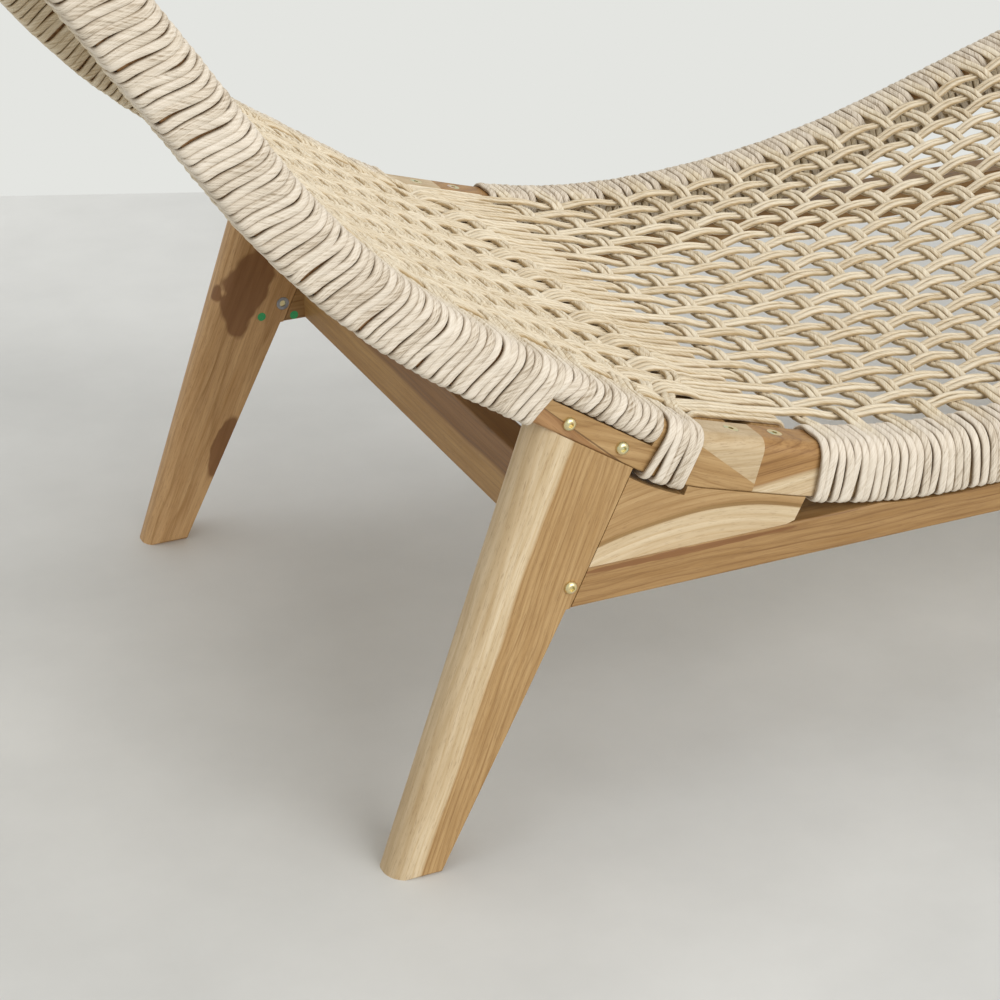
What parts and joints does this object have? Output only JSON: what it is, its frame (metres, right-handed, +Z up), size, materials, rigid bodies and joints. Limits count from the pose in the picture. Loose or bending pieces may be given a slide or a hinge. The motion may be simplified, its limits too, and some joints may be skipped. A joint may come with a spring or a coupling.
{
  "type": "sun lounger",
  "caption": "Sun lounger with a curved teak frame on splayed legs and a fixed back, woven and wrapped with natural paper cord.",
  "frame": {"origin": "on the floor, under the middle of the whole lounger", "axes": "+X points to the foot end, +Y to the left side of someone lying on it, +Z up"},
  "size_m": [1.7036, 0.654, 0.815],
  "materials": {
    "teak": "sanded and lightly oiled",
    "teak_sapwood": "sanded and lightly oiled",
    "wrapped_cord": "twisted cord, wound side by side",
    "woven_cord": "twisted cord, plain weave of doubled cords",
    "zinc_plated_steel": "yellow zinc plated"
  },
  "bodies": {
    "root": {"back_band_cord_left": "wrapped_cord", "back_band_cord_right": "wrapped_cord", "back_bottom_cord": "wrapped_cord", "back_bottom_rail": "teak", "back_leg_left": "teak", "back_leg_right": "teak", "back_rail_cord_left": "wrapped_cord", "back_rail_cord_right": "wrapped_cord", "back_rail_heel_left": "teak_sapwood", "back_rail_heel_right": "teak_sapwood", "back_rail_middle_left": "teak", "back_rail_middle_right": "teak", "back_rail_upper_left": "teak", "back_rail_upper_right": "teak", "back_slot_cord_left": "wrapped_cord", "back_slot_cord_right": "wrapped_cord", "back_top_cord": "wrapped_cord", "back_top_rail": "teak", "foot_rail_cord_left": "wrapped_cord", "foot_rail_cord_right": "wrapped_cord", "front_cross_rail": "teak", "front_leg_left": "teak", "front_leg_right": "teak", "insert_nuts": "zinc_plated_steel", "joint_gusset_left": "teak", "joint_gusset_right": "teak", "joint_screws": "zinc_plated_steel", "rail_bolts": "zinc_plated_steel", "rear_cross_rail": "teak", "seat_foot_cord": "wrapped_cord", "seat_foot_rail": "teak", "seat_rail_cord_left": "wrapped_cord", "seat_rail_cord_right": "wrapped_cord", "seat_rail_front_left": "teak", "seat_rail_front_right": "teak", "seat_rail_rear_left": "teak", "seat_rail_rear_right": "teak", "seat_rear_cord": "wrapped_cord", "seat_rear_rail": "teak", "seat_slot_cord_left": "wrapped_cord", "seat_slot_cord_right": "wrapped_cord", "side_stretcher_left": "teak", "side_stretcher_right": "teak", "stretcher_bolts": "zinc_plated_steel", "woven_back": "woven_cord", "woven_seat": "woven_cord"}
  },
  "joints": []
}
